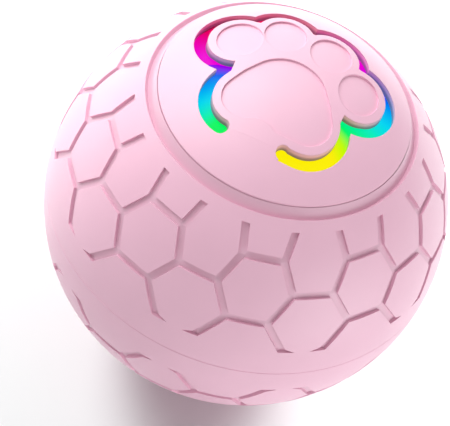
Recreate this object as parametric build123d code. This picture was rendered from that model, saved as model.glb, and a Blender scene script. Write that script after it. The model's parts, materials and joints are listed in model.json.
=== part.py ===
from build123d import *
import math
import os

# Vibrating dog ball. Millimetres, +Z through the middle of the paw cap, origin at the ball's centre.
# The paw cap is on top, the charging cap is underneath, and the two halves meet at the equator.
# +Y points away from someone who reads the paw upright, and +X is to the right.

# Ball shell
ball_radius = 42.5
shell_wall = 4.0
parting_bevel = 0.15
shell_bands = 3

# Ring channel and the openings that take the two caps
cap_radius = 25.9
ring_width = 2.2
ring_depth = 1.0
ring_lip_depth = 0.25
cap_clearance = 0.1
cap_wall = 1.5
cap_bands = 2
skirt_wall = 1.5
skirt_height = 2.7
seat_thickness = 2.0
seat_width = 5.7

# Honeycomb grooves. Rows and columns are places on the ball, in degrees
groove_width = 1.6
groove_depth = 0.8
comb_edge_length = 8.4
groove_top_margin = 2.4
column_pairs = 10
first_column = 12.0
row_latitude = 28.0
row_step = 9.2
groove_low_latitude = 9.3
low_edge_dip = 2.4

# Paw print. Places and half sizes of the pads are shares of the cap's radius, tilts are in degrees
paw_rim = 1.6
slot_width = 2.45
slot_drop = 0.5
dish_depth = 0.45
toe_shares = (
    (-0.499, 0.212, 0.171, 0.208),
    (-0.184, 0.386, 0.164, 0.208),
    (0.199, 0.358, 0.169, 0.208),
    (0.499, 0.105, 0.167, 0.210),
)
toe_tilts = (2, 0, 10, 10)
pad_circle_shares = (
    (-0.026, -0.217, 0.330),
    (-0.158, -0.276, 0.265),
    (-0.289, -0.336, 0.184),
    (0.200, -0.361, 0.202),
    (0.087, -0.289, 0.272),
)
pad_notch_share = (-0.139, -0.694, 0.197)
web_shares = (
    (-0.466, -0.164),
    (-0.466, 0.471),
    (-0.387, 0.471),
    (-0.003, 0.532),
    (0.053, 0.532),
    (0.430, 0.371),
    (0.492, 0.371),
    (0.440, -0.240),
)
# The slot's two ends lie below these circles of the main pad, at these angles from +X
slot_end_circles = (2, 3)
slot_end_angles = (252.7, 255.5)
hinge_gap = 0.05

# Tongue, rebate and seal where the halves meet
tongue_wall = 0.8
tongue_inset = 0.1
tongue_length = 2.0
tongue_root = 1.0
tongue_clearance = 0.1
seal_inset = 1.8
seal_width = 0.8
seal_height = 0.9
seal_clearance = 0.05

# Long screws that clamp the two halves and the deck
shell_screw_inset = 3.9
column_radius = 3.5
post_embed = 0.5
shell_screw_radius = 1.5
shell_screw_hole_clearance = 0.15
shell_screw_length = 30.0
shell_screw_head_radius = 2.75
shell_screw_head_height = 2.0
counterbore_clearance = 0.15
counterbore_depth = 2.4

# Small screws
small_screw_radius = 1.0
small_screw_head_radius = 1.8
small_screw_head_height = 1.3
small_screw_clearance = 0.1
thread_gap = 0.02
pilot_room = 0.3

# Screws that hold the light board and the paw cap
cap_screw_inset = 3.5
cap_post_radius = 2.2
cap_screw_length = 6.0

# Light board, switch and diffuser under the paw
light_board_margin = 0.3
light_board_thickness = 1.6
board_gap = 0.1
post_clearance = 0.4
led_count = 8
led_inset = 3.7
led_size = 5.0
led_height = 1.6
switch_size = 6.0
switch_height = 3.5
plunger_radius = 1.7
plunger_clearance = 0.1
plunger_depth = 1.5
plunger_reach = 1.2
stem_radius = 1.5
stem_gap = 0.1
diffuser_hole_radius = 2.6
diffuser_gap = 1.6
diffuser_wall = 1.2
diffuser_margin = 1.0

# Deck across the ball and the battery under it
deck_top = -12.0
deck_thickness = 2.0
deck_margin = 1.5
wire_hole_radius = 3.0
wire_hole_offset = 20.0
cell_radius = 7.0
cell_length = 43.0
cell_cap_radius = 3.0
cell_cap_height = 1.0
foam_thickness = 0.8
foam_width = 8.0
foam_length = 30.0
cradle_gap = 0.15
cradle_wall = 1.2
cradle_length = 24.0
cradle_ear_width = 4.5
cradle_ear_thickness = 2.0
cradle_screw_x = 9.5
cradle_screw_length = 3.8

# Frames that carry the weight's axle and the motor. The bearing frame's posts tie the two together
frame_span = 17.0
frame_wall = 2.0
frame_foot_half = 13.0
frame_shoulder_half = 11.0
frame_post_radius = 2.0
upper_post_place = (8.4, 16.0)
lower_post_place = (10.6, -9.0)
post_screw_length = 6.0
foot_length = 4.6
foot_thickness = 2.0
foot_half_width = 8.0
foot_screw_y = 5.0
foot_screw_length = 3.8
standoff_radius = 2.0
standoff_length = 4.5
standoff_y = 8.5
standoff_low = -5.0
standoff_high = 11.0

# Axle, bushes and the off-centre weight
axle_radius = 1.5
axle_half_length = 12.6
running_clearance = 0.04
bush_wall = 1.0
bush_flange_radius = 3.4
bush_flange_thickness = 0.8
clip_gap = 0.3
clip_thickness = 0.6
clip_radius = 3.0
clip_mouth = 2.0
weight_radius = 11.2
weight_thickness = 11.4
weight_hub_radius = 4.0
gear_end_gap = 1.6
rivet_radius = 1.0
rivet_place = (5.8, -3.0)
rivet_length = 7.5
rivet_head_radius = 1.7
rivet_head_height = 0.4

# Gears
gear_module = 0.6
gear_teeth = 36
pinion_teeth = 9
gear_width = 3.5
pinion_width = 3.0
gear_backlash = 0.12
centre_extra = 0.05
pressure_angle = 20.0
gear_web_width = 2.1
gear_hub_radius = 3.6
gear_rim_wall = 1.6

# Motor
motor_radius = 7.7
motor_flat_half = 6.0
motor_length = 16.0
motor_boss_radius = 2.5
motor_boss_length = 1.6
motor_end_radius = 6.2
motor_end_length = 2.5
motor_shaft_radius = 0.75
motor_shaft_tail = 15.0
motor_screw_offset = 4.6
motor_screw_length = 4.4
terminal_offset = 3.5
terminal_width = 2.0
terminal_thickness = 0.4
terminal_length = 3.0

# Control board
control_board_half = 11.0
control_board_thickness = 1.6
control_screw_length = 4.6
chip_side = 7.0
chip_height = 1.4
driver_length = 5.0
driver_width = 4.0
chip_offset = 4.6
sensor_radius = 2.4
sensor_length = 8.0
socket_row_count = 3
wire_socket_size = 3.8
wire_socket_height = 4.0
wire_socket_pitch = 4.3

# Charging cap, port and plug underneath
bead_height = 0.3
bead_width = 1.2
bead_drop = 1.3
bead_clearance = 0.1
port_block_length = 17.0
port_block_width = 10.0
port_block_depth = 2.4
recess_length = 14.0
recess_width = 7.4
recess_depth = 1.3
port_length = 9.4
port_width = 3.7
socket_length = 9.0
socket_width = 3.3
socket_wall = 0.3
socket_inset = 0.4
socket_height = 9.2
tongue_plate_length = 6.6
tongue_plate_width = 0.7
tongue_plate_setback = 2.6
charge_board_length = 14.0
charge_board_width = 26.0
charge_board_thickness = 1.2
charge_post_radius = 2.2
charge_post_offset = 10.6
charge_screw_length = 4.4
plug_clearance = 0.2
plug_head_height = 1.2
plug_nose_length = 2.4
plug_nose_clearance = 0.1
plug_tab_length = 3.0
plug_tab_width = 1.4
plug_tab_height = 0.5

# One overrun serves every cut
overrun = 1.0

# Sizes worked out from the values above
inner_radius = ball_radius - shell_wall
ring_radius = cap_radius + ring_width
cap_bore_radius = cap_radius + cap_clearance
cap_under_radius = ball_radius - cap_wall
seat_height = math.sqrt(ball_radius**2 - cap_radius**2) - skirt_height
seat_underside = seat_height - seat_thickness
seat_bore_radius = cap_radius - seat_width
groove_top_latitude = math.degrees(math.acos(ring_radius / ball_radius) - groove_top_margin / ball_radius)
seal_radius = ball_radius - seal_inset
screw_circle_radius = cap_radius - shell_screw_inset
cap_screw_circle_radius = cap_radius - cap_screw_inset
deck_radius = screw_circle_radius + column_radius + deck_margin
light_board_radius = math.sqrt(inner_radius**2 - seat_underside**2) - light_board_margin
light_board_top = seat_underside - board_gap
led_circle_radius = seat_bore_radius - led_inset
switch_top = light_board_top + switch_height
plunger_top = switch_top + plunger_reach
deck_underside = deck_top - deck_thickness
cell_height = deck_underside - foam_thickness - cell_radius
frame_inside = frame_span / 2
frame_outside = frame_inside + frame_wall
gear_start = gear_end_gap - frame_inside
weight_start = gear_start + gear_width
gear_centres = gear_module * (gear_teeth + pinion_teeth) / 2 + centre_extra
charge_board_underside = socket_inset + recess_depth + socket_height - ball_radius
charge_board_topside = charge_board_underside + charge_board_thickness


def height_at(radius, sphere):
    """Height of a sphere's surface at a distance from the ball's axis."""
    return math.sqrt(sphere * sphere - radius * radius)


def banded_arc(sphere, low_angle, high_angle, bands):
    """Points of a profile that follows an arc about the centre in straight bands."""
    step = (high_angle - low_angle) / bands
    angles = [math.radians(low_angle + step * k) for k in range(bands + 1)]
    return [(sphere * math.cos(a), sphere * math.sin(a)) for a in angles]


def banded_dome(sphere, foot_radius):
    """Points of a dome's profile in straight bands, from its foot up to a small flat top."""
    foot_angle = math.degrees(math.acos(foot_radius / sphere))
    return banded_arc(sphere, foot_angle, 90 - (90 - foot_angle) / cap_bands / 2, cap_bands)


def turned(profile):
    """Solid of revolution about Z from a closed profile of radius and height."""
    return revolve(Plane.XZ * profile, Axis.Z)


def tube(outer, inner, low, high):
    """Ring about Z between two heights."""
    ring = Circle(outer) - Circle(inner)
    return Pos(0, 0, low) * extrude(ring, high - low)


def rod(radius, x, y, low, high):
    """Upright round bar."""
    return Pos(x, y, low) * extrude(Circle(radius), high - low)


def cross_rod(radius, start, end, y=0, z=0):
    """Round bar along X."""
    return Plane(origin=(start, y, z), x_dir=(0, 1, 0), z_dir=(1, 0, 0)) * extrude(Circle(radius), end - start)


def side_sphere(radius):
    """Ball about the centre whose poles lie on X, so that a cap cut from it has no pole in its middle."""
    return Rot(0, 90, 0) * Sphere(radius)


def side_plate(sketch, start, end):
    """Flat plate across X, from a sketch whose axes are Y and Z."""
    return Plane(origin=(start, 0, 0), x_dir=(0, 1, 0), z_dir=(1, 0, 0)) * extrude(sketch, end - start)


def stadium(length, width):
    """Slot-shaped outline with round ends."""
    return SlotOverall(length, width)


def joined(shapes):
    """One shape from a list of shapes that touch or overlap."""
    return shapes[0].fuse(*shapes[1:]) if len(shapes) > 1 else shapes[0]


def around(count, first=0.0):
    """Angles of a pattern about Z."""
    return [first + 360 / count * k for k in range(count)]


def on_circle(radius, angle):
    """Point at a distance from Z, at an angle from +X."""
    return radius * math.cos(math.radians(angle)), radius * math.sin(math.radians(angle))


def single(shape):
    """The one solid that a cut leaves."""
    return shape.solids().sort_by(SortBy.VOLUME)[-1]


# Honeycomb


def on_ball(longitude, latitude):
    """Direction of a place on the ball. Longitude 0 faces -Y and grows towards +X."""
    east, north = math.radians(longitude), math.radians(latitude)
    return Vector(
        math.cos(north) * math.sin(east), -math.cos(north) * math.cos(east), math.sin(north)
    )


def hex_corner(column, row, side):
    """Corner of a cell, half a cell edge to one side of a column on a row."""
    latitude = row_latitude + row * row_step
    half_turn = math.degrees(comb_edge_length / 2 / (ball_radius * math.cos(math.radians(latitude))))
    return on_ball(column + side * half_turn, latitude)


def groove(start, end):
    """Cutter for one straight groove between two corners, with square walls and a flat floor."""
    middle = ((start + end) * 0.5).normalized()
    along = (end - start).normalized()
    place = Plane(origin=middle * (ball_radius - groove_depth), x_dir=along, z_dir=middle)
    length = (end - start).length * ball_radius + groove_width / 2
    block = Box(length, groove_width, groove_depth + overrun, align=(Align.CENTER, Align.CENTER, Align.MIN))
    return place * block


def groove_set():
    """Grooves of one pair of columns, which repeats around the ball. The lowest edges dip out of the belt."""
    offset = 180 / column_pairs
    grooves = []
    for row in (1, -1):
        grooves.append(groove(hex_corner(0, row, -1), hex_corner(0, row, 1)))
    grooves.append(groove(hex_corner(offset, 0, -1), hex_corner(offset, 0, 1)))
    low_middle = on_ball(offset, row_latitude - 2 * row_step - low_edge_dip)
    for side in (-1, 1):
        grooves.append(groove(hex_corner(offset, -2, side), low_middle))
        for row in (1, -1):
            corner = hex_corner(0, row, side)
            grooves.append(groove(corner, hex_corner(side * offset, row + 1, -side)))
            grooves.append(groove(corner, hex_corner(side * offset, row - 1, -side)))
    return joined(grooves)


def groove_belt():
    """Zone between the two latitudes where the grooves stop."""
    near, far = ball_radius / 2, ball_radius * 2
    low, high = math.radians(groove_low_latitude), math.radians(groove_top_latitude)
    corners = [(r * math.cos(a), r * math.sin(a)) for r, a in ((near, low), (far, low), (far, high), (near, high))]
    return turned(make_face(Polyline(*corners, close=True)))


def honeycomb_cutters():
    """All the grooves of one half of the ball."""
    trimmed = (groove_set() & groove_belt()).solids()
    return [Rot(0, 0, first_column + turn) * one for turn in around(column_pairs) for one in trimmed]


# Shell halves


def half_profile():
    """Section of one half: ball surface, ring channel with its sloping floor, cap seat and banded inner wall."""
    equator = (height_at(parting_bevel, ball_radius), parting_bevel)
    rim = (ring_radius, height_at(ring_radius, ball_radius))
    step_share = (ball_radius - ring_depth) / ball_radius
    step = (ring_radius * step_share, rim[1] * step_share)
    lip = (cap_bore_radius, height_at(cap_bore_radius, ball_radius - ring_lip_depth))
    seat_angle = math.degrees(math.asin(seat_underside / inner_radius))
    bands = banded_arc(inner_radius, seat_angle, 0, shell_bands)
    outline = (
        RadiusArc(equator, rim, -ball_radius)
        + Polyline(
            rim,
            step,
            lip,
            (cap_bore_radius, seat_height),
            (seat_bore_radius, seat_height),
            (seat_bore_radius, seat_underside),
            *bands,
            (ball_radius - parting_bevel, 0),
            equator,
        )
    )
    return make_face(outline)


def seal_groove():
    """Room for the seal on both sides of the equator."""
    half_width = seal_width / 2 + seal_clearance
    half_height = seal_height / 2 + seal_clearance
    return tube(seal_radius + half_width, seal_radius - half_width, -half_height, half_height)


def shell_blank():
    """One half with its grooves and seal groove, before its screw posts. Its seam lies along a column's middle."""
    half = Rot(0, 0, first_column - 90) * turned(half_profile())
    return half.cut(*honeycomb_cutters(), seal_groove())


def upper_shell(blank):
    """Paw half, with the tongue at the equator and four long posts for the shell screws."""
    inside = inner_radius + tongue_inset
    pieces = [blank, tube(inside + tongue_wall, inside, -tongue_length, tongue_root)]
    holes = []
    for angle in around(4, 45):
        x, y = on_circle(screw_circle_radius, angle)
        pieces.append(rod(column_radius, x, y, deck_top, seat_underside + post_embed))
        pilot_top = counterbore_depth - seat_height + shell_screw_length + overrun
        holes.append(rod(shell_screw_radius + thread_gap, x, y, deck_top - overrun, pilot_top))
    for x, y in cap_screw_places():
        bore = small_screw_radius + small_screw_clearance
        holes.append(rod(bore, x, y, seat_underside - overrun, seat_height + overrun))
    return joined(pieces).cut(*holes)


def lower_shell(blank):
    """Charging half, with the rebate for the tongue, screw columns and the bead's snap groove."""
    half = mirror(blank, Plane.XY)
    inside = inner_radius - overrun
    outside = inner_radius + tongue_inset + tongue_wall + tongue_clearance
    cuts = [tube(outside, inside, -tongue_length - tongue_clearance, overrun)]
    columns = []
    for angle in around(4, 45):
        x, y = on_circle(screw_circle_radius, angle)
        columns.append(rod(column_radius, x, y, -seat_height, deck_underside))
        bore = shell_screw_radius + shell_screw_hole_clearance
        cuts.append(rod(bore, x, y, -seat_height - overrun, deck_underside + overrun))
        head = shell_screw_head_radius + counterbore_clearance
        cuts.append(rod(head, x, y, -seat_height - overrun, counterbore_depth - seat_height))
    cuts.append(snap_ring(cap_radius - overrun, bead_clearance))
    return joined([half, *columns]).cut(*cuts)


def snap_ring(inside, extra):
    """Half-round bead about the charging cap's skirt, or with clearance, the groove that it snaps into."""
    edge = cap_radius + bead_height + extra
    middle = -seat_height - bead_drop
    half = bead_width / 2 + extra
    outline = Polyline(
        (inside, middle - half),
        (cap_radius, middle - half),
        (edge, middle),
        (cap_radius, middle + half),
        (inside, middle + half),
        close=True,
    )
    return turned(make_face(outline))


# Caps


def cap_screw_places():
    """Where the three screws rise through the light board and the seat into the paw cap."""
    return [on_circle(cap_screw_circle_radius, angle) for angle in around(3, 90)]


def cap_dome():
    """Round cap with a skirt, without its print or port."""
    skirt_inside = cap_radius - skirt_wall
    bands = banded_dome(cap_under_radius, skirt_inside)
    outline = Polyline(
        (0, ball_radius + overrun),
        (0, bands[-1][1]),
        *bands[::-1],
        (skirt_inside, seat_height),
        (cap_radius, seat_height),
        (cap_radius, ball_radius + overrun),
        close=True,
    )
    return turned(make_face(outline)) & side_sphere(ball_radius)


def share_place(share):
    """Place in millimetres from shares of the cap's radius."""
    return share[0] * cap_radius, share[1] * cap_radius


def toe(shares, tilt, grow):
    """One toe's oval, grown by a margin."""
    x, y = share_place(shares)
    oval = Ellipse(shares[2] * cap_radius + grow, shares[3] * cap_radius + grow)
    return Pos(x, y) * Rot(0, 0, -tilt) * oval


def main_pad(grow):
    """The large pad: a hull round its circles, grown by a margin."""
    edges = []
    for shares in pad_circle_shares:
        x, y = share_place(shares)
        edges += (Pos(x, y) * Circle(shares[2] * cap_radius + grow)).edges()
    return make_hull(edges)


def paw_outline(grow):
    """Toes and main pad together, grown by a margin."""
    outline = main_pad(grow)
    for shares, tilt in zip(toe_shares, toe_tilts):
        outline = outline + toe(shares, tilt, grow)
    return outline


def flat_polygon(shares_list):
    """Straight-sided outline through places given as shares of the cap's radius."""
    corners = [share_place(shares) for shares in shares_list]
    return make_face(Polyline(*corners, close=True))


def opening_outline():
    """Edge of the opening round the paw plate. It lies a little nearer to the bridge than the plate does."""
    return Pos(0, -slot_drop) * paw_outline(paw_rim + slot_width)


def slot_end(end):
    """Middle and radius of one round end of the slot, which touches the plate's edge and the opening's."""
    shares = pad_circle_shares[slot_end_circles[end]]
    x, y = share_place(shares)
    plate_edge = shares[2] * cap_radius + paw_rim
    both_edges = 2 * plate_edge + slot_width
    rise = math.sin(math.radians(slot_end_angles[end]))
    distance = (both_edges**2 - slot_drop**2) / (both_edges + slot_drop * rise) / 2
    dx, dy = on_circle(distance, slot_end_angles[end])
    return x + dx, y + dy, distance - plate_edge


def bridge_side(end):
    """One side of the bridge: from the pad's middle to the slot's end, and on past the opening's edge."""
    x, y = share_place(pad_circle_shares[slot_end_circles[end]])
    end_x, end_y, end_radius = slot_end(end)
    dx, dy = end_x - x, end_y - y + slot_drop
    past = (end_radius + overrun) / math.hypot(dx, dy)
    return [(x, y), (end_x, end_y), (end_x + dx * past, end_y + dy * past)]


def bridge_outline():
    """Solid stretch between the slot's two ends, where the paw plate bends."""
    corners = bridge_side(0) + bridge_side(1)[::-1]
    return make_face(Polyline(*corners, close=True))


def slot_outline():
    """Open slot that runs round the paw, from one end of the bridge to the other."""
    plate = paw_outline(paw_rim) + flat_polygon(web_shares)
    outline = opening_outline() - plate - bridge_outline()
    for end in (0, 1):
        x, y, radius = slot_end(end)
        outline = outline + Pos(x, y) * Circle(radius)
    return outline


def hinge_line():
    """Middle and direction of the bridge's bending line."""
    x0, y0, _ = slot_end(0)
    x1, y1, _ = slot_end(1)
    length = math.hypot(x1 - x0, y1 - y0)
    return ((x0 + x1) / 2, (y0 + y1) / 2), ((x1 - x0) / length, (y1 - y0) / length)


def plate_side(gap):
    """Half of the cap on the paw's side of the bending line, as a flat outline."""
    (x, y), (dx, dy) = hinge_line()
    turn = math.degrees(math.atan2(dy, dx))
    size = 2 * cap_radius
    return Pos(x, y) * Rot(0, 0, turn) * Pos(0, size / 2 + gap) * Rectangle(2 * size, size)


def upright(outline, low, high):
    """A flat outline pulled up between two heights."""
    return Pos(0, 0, low) * extrude(outline, high - low)


def dish_cutter():
    """Shallow dishes of the toes and the main pad, whose floors follow the ball."""
    dishes = main_pad(0)
    x, y = share_place(pad_notch_share)
    dishes = dishes - Pos(x, y) * Circle(pad_notch_share[2] * cap_radius)
    for shares, tilt in zip(toe_shares, toe_tilts):
        dishes = dishes + toe(shares, tilt, 0)
    return upright(dishes, seat_height, ball_radius + overrun) - side_sphere(ball_radius - dish_depth)


def paw_cutter(outline):
    """An outline pulled up through the whole cap."""
    return upright(outline, seat_height - overrun, ball_radius + overrun)


def paw_cap(dome):
    """Fixed part of the paw cap: everything outside the light slot, and the foot of the bridge."""
    opening = opening_outline() & plate_side(0)
    cap = dome - paw_cutter(opening) - paw_cutter(slot_outline())
    for x, y in cap_screw_places():
        post = rod(cap_post_radius, x, y, seat_height, ball_radius)
        cap = cap + (post & side_sphere(ball_radius - cap_wall / 2))
    tip = light_board_top - light_board_thickness + cap_screw_length + pilot_room
    for x, y in cap_screw_places():
        cap = cap - rod(small_screw_radius + thread_gap, x, y, seat_height - overrun, tip)
    return single(cap)


def paw_button(dome):
    """The paw plate, which bends down on its bridge, with the dishes and the stem over the switch."""
    outline = (opening_outline() & plate_side(hinge_gap)) - slot_outline()
    plate = (dome & paw_cutter(outline)) - dish_cutter()
    low = plunger_top + stem_gap
    return single(plate + rod(stem_radius, 0, 0, low, cap_under_radius))


def charge_cap(dome):
    """Charging cap: the paw cap's plain twin, with a port, a recess for the plug and two posts."""
    cap = mirror(dome, Plane.XY) + snap_ring(cap_radius - skirt_wall / 2, 0)
    block_base = port_block_depth - ball_radius + cap_wall
    block = upright(stadium(port_block_length, port_block_width), -ball_radius, block_base)
    cap = cap + (block & side_sphere(ball_radius - cap_wall / 2))
    for side in (-1, 1):
        foot = rod(charge_post_radius, 0, side * charge_post_offset, -ball_radius, charge_board_underside)
        cap = cap + (foot & side_sphere(ball_radius - cap_wall / 2))
    recess = upright(stadium(recess_length, recess_width), -ball_radius - overrun, recess_depth - ball_radius)
    port = upright(stadium(port_length, port_width), -ball_radius - overrun, block_base + overrun)
    cap = cap - recess - port
    low = charge_board_underside - charge_screw_length + charge_board_thickness
    for side in (-1, 1):
        y = side * charge_post_offset
        cap = cap - rod(small_screw_radius + thread_gap, 0, y, low, charge_board_underside + overrun)
    return single(cap)


# Screws


def screw(radius, head_radius, head_height, length):
    """Pan-headed screw along +Z, with the seat of its head at the origin."""
    head = Pos(0, 0, -head_height) * extrude(Circle(head_radius), head_height)
    return head + extrude(Circle(radius), length)


def small_screw(length):
    """Small pan-headed screw."""
    return screw(small_screw_radius, small_screw_head_radius, small_screw_head_height, length)


def shell_screws():
    """Four long screws that rise from under the charging cap into the paw half."""
    one = screw(shell_screw_radius, shell_screw_head_radius, shell_screw_head_height, shell_screw_length)
    places = [on_circle(screw_circle_radius, angle) for angle in around(4, 45)]
    return Compound([Pos(x, y, counterbore_depth - seat_height) * one for x, y in places])


def cap_screws():
    """Three screws that clamp the light board and the seat to the paw cap."""
    low = light_board_top - light_board_thickness
    return Compound([Pos(x, y, low) * small_screw(cap_screw_length) for x, y in cap_screw_places()])


# Light and switch


def light_board():
    """Round circuit board under the seat, notched for the four shell posts."""
    board = Circle(light_board_radius)
    for angle in around(4, 45):
        x, y = on_circle(screw_circle_radius, angle)
        board = board - Pos(x, y) * Circle(column_radius + post_clearance)
    for x, y in cap_screw_places():
        board = board - Pos(x, y) * Circle(small_screw_radius + small_screw_clearance)
    return single(upright(board, light_board_top - light_board_thickness, light_board_top))


def leds():
    """Ring of square colour-changing lamps."""
    lamps = []
    for angle in around(led_count, 180 / led_count):
        x, y = on_circle(led_circle_radius, angle)
        lamp = Box(led_size, led_size, led_height, align=(Align.CENTER, Align.CENTER, Align.MIN))
        lamps.append(Pos(x, y, light_board_top) * Rot(0, 0, angle) * lamp)
    return Compound(lamps)


def switch_body():
    """Square push switch at the middle of the light board."""
    body = upright(Rectangle(switch_size, switch_size), light_board_top, switch_top)
    return body - rod(plunger_radius + plunger_clearance, 0, 0, switch_top - plunger_depth, switch_top + overrun)


def switch_plunger():
    """Round plunger that the paw's stem pushes."""
    room = 2 * plunger_clearance + paw_travel()
    return rod(plunger_radius, 0, 0, switch_top - plunger_depth + room, plunger_top)


def paw_travel():
    """How far the stem goes down at the paw's full press."""
    return plunger_reach / 3


def diffuser():
    """Frosted dome that spreads the lamps' light under the slot, with a hole for the stem."""
    foot_radius = cap_radius - skirt_wall - diffuser_margin
    outside = banded_dome(cap_under_radius - diffuser_gap, foot_radius)
    inside = banded_dome(cap_under_radius - diffuser_gap - diffuser_wall, foot_radius - diffuser_wall)
    outline = Polyline(
        (foot_radius, seat_height),
        *outside,
        (diffuser_hole_radius, outside[-1][1]),
        (diffuser_hole_radius, inside[-1][1]),
        *inside[::-1],
        (foot_radius - diffuser_wall, seat_height),
        close=True,
    )
    dome = turned(make_face(outline))
    for x, y in cap_screw_places():
        dome = dome - rod(cap_post_radius + post_clearance, x, y, seat_height - overrun, ball_radius)
    return single(dome)


# Deck and battery


def deck():
    """Round plate clamped between the columns and the posts. It carries the frames and the battery."""
    plate = Circle(deck_radius)
    for angle in around(4, 45):
        x, y = on_circle(screw_circle_radius, angle)
        plate = plate - Pos(x, y) * Circle(shell_screw_radius + shell_screw_hole_clearance)
    for side in (-1, 1):
        plate = plate - Pos(0, side * wire_hole_offset) * Circle(wire_hole_radius)
        for y in (-foot_screw_y, foot_screw_y):
            plate = plate - Pos(side * foot_screw_x(), y) * Circle(small_screw_radius + thread_gap)
        for x in (-cradle_screw_x, cradle_screw_x):
            plate = plate - Pos(x, side * cradle_screw_y()) * Circle(small_screw_radius + thread_gap)
    return single(upright(plate, deck_underside, deck_top))


def battery_cell():
    """Round rechargeable cell along X, with its raised end cap."""
    half = cell_length / 2
    body = cross_rod(cell_radius, -half, half - cell_cap_height, z=cell_height)
    return body + cross_rod(cell_cap_radius, half - cell_cap_height, half, z=cell_height)


def battery_foam():
    """Foam strip between the cell and the deck."""
    base = Pos(0, 0, deck_underside - foam_thickness)
    size = (foam_length, foam_width, foam_thickness)
    strip = base * Box(*size, align=(Align.CENTER, Align.CENTER, Align.MIN))
    return strip - cross_rod(cell_radius, -cell_length, cell_length, z=cell_height)


def cradle_screw_y():
    """Distance of the cradle's screws from its middle."""
    return cell_radius + cradle_gap + cradle_wall + cradle_ear_width / 2


def battery_cradle():
    """Trough that holds the cell up against the deck, with an ear along each side."""
    inside = cell_radius + cradle_gap
    outside = inside + cradle_wall
    drop = deck_underside - cell_height
    wall = Circle(outside) + Pos(0, drop / 2) * Rectangle(2 * outside, drop)
    room = Circle(inside) + Pos(0, drop / 2) * Rectangle(2 * inside, drop)
    ear_place = Pos(0, drop - cradle_ear_thickness / 2)
    ears = ear_place * Rectangle(2 * (outside + cradle_ear_width), cradle_ear_thickness)
    section = Pos(0, cell_height) * ((wall + ears - room) - Pos(0, drop + cell_radius) * Rectangle(
        4 * outside, 2 * cell_radius))
    trough = side_plate(section, -cradle_length / 2, cradle_length / 2)
    for x, y in cradle_screw_places():
        bore = small_screw_radius + small_screw_clearance
        trough = trough - rod(bore, x, y, deck_underside - cradle_ear_thickness - overrun, deck_underside)
    return single(trough)


def cradle_screw_places():
    """Where the cradle is screwed to the deck."""
    return [(x, side * cradle_screw_y()) for x in (-cradle_screw_x, cradle_screw_x) for side in (-1, 1)]


def cradle_screws():
    """Four screws that hold the cradle under the deck."""
    low = deck_underside - cradle_ear_thickness
    return Compound([Pos(x, y, low) * small_screw(cradle_screw_length) for x, y in cradle_screw_places()])


# Frames


def foot_screw_x():
    """Distance of the frame feet's screws from the middle of the ball."""
    return frame_outside + foot_length / 2


def frame_sketch():
    """Outline of a frame plate in Y and Z: wide at its foot, round about the motor."""
    taper = Polyline(
        (-frame_foot_half, deck_top),
        (frame_foot_half, deck_top),
        (frame_shoulder_half, gear_centres),
        (-frame_shoulder_half, gear_centres),
        close=True,
    )
    return make_face(taper) + Pos(0, gear_centres) * Circle(frame_shoulder_half)


def post_places():
    """Places in Y and Z of the four posts between the frames."""
    return [(side * y, z) for y, z in (upper_post_place, lower_post_place) for side in (-1, 1)]


def frame_plate(side):
    """One frame plate with its bush hole and foot. side is -1 for the motor's and 1 for the other."""
    sketch = frame_sketch() - Circle(axle_radius + running_clearance + bush_wall)
    if side < 0:
        hole = Circle(small_screw_radius + small_screw_clearance)
        sketch = sketch - Pos(0, gear_centres) * Circle(motor_boss_radius + small_screw_clearance)
        for y in (-motor_screw_offset, motor_screw_offset):
            sketch = sketch - Pos(y, gear_centres) * hole
        for y, z in post_places():
            sketch = sketch - Pos(y, z) * hole
    start = frame_inside if side > 0 else -frame_outside
    plate = side_plate(sketch, start, start + frame_wall)
    foot = Box(foot_length + frame_wall, 2 * foot_half_width, foot_thickness,
               align=(Align.MIN, Align.CENTER, Align.MIN))
    foot = Pos(frame_inside, 0, deck_top) * foot
    for y in (-foot_screw_y, foot_screw_y):
        bore = small_screw_radius + small_screw_clearance
        foot = foot - rod(bore, foot_screw_x(), y, deck_top - overrun, deck_top + foot_thickness + overrun)
    return plate + (foot if side > 0 else mirror(foot, Plane.YZ))


def standoff_places():
    """Places in Y and Z of the control board's standoffs."""
    return [(side * standoff_y, z) for z in (standoff_low, standoff_high) for side in (-1, 1)]


def bearing_frame():
    """Frame on the control board's side, with posts to the motor's frame and standoffs for the board."""
    pilot = small_screw_radius + thread_gap
    pieces = [frame_plate(1)]
    holes = []
    for y, z in post_places():
        pieces.append(cross_rod(frame_post_radius, -frame_inside, frame_inside, y, z))
        depth = post_screw_length - frame_wall + pilot_room
        holes.append(cross_rod(pilot, -frame_inside, depth - frame_inside, y, z))
    for y, z in standoff_places():
        end = frame_outside + standoff_length
        pieces.append(cross_rod(standoff_radius, frame_outside, end, y, z))
        holes.append(cross_rod(pilot, frame_outside, end, y, z))
    return single(joined(pieces).cut(*holes))


def frame_screws():
    """Screws through the motor's frame into the posts, and down through the feet into the deck."""
    across = Plane(origin=(-frame_outside, 0, 0), x_dir=(0, 1, 0), z_dir=(1, 0, 0))
    screws = [across * Pos(y, z) * small_screw(post_screw_length) for y, z in post_places()]
    top = deck_top + foot_thickness
    for x in (-foot_screw_x(), foot_screw_x()):
        for y in (-foot_screw_y, foot_screw_y):
            screws.append(Pos(x, y, top) * Rot(180, 0, 0) * small_screw(foot_screw_length))
    return Compound(screws)


# Weight and gears


def involute(base_radius, radius):
    """Polar angle in degrees that an involute has turned through at a radius."""
    roll = math.acos(base_radius / radius)
    return math.degrees(math.tan(roll) - roll)


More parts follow.
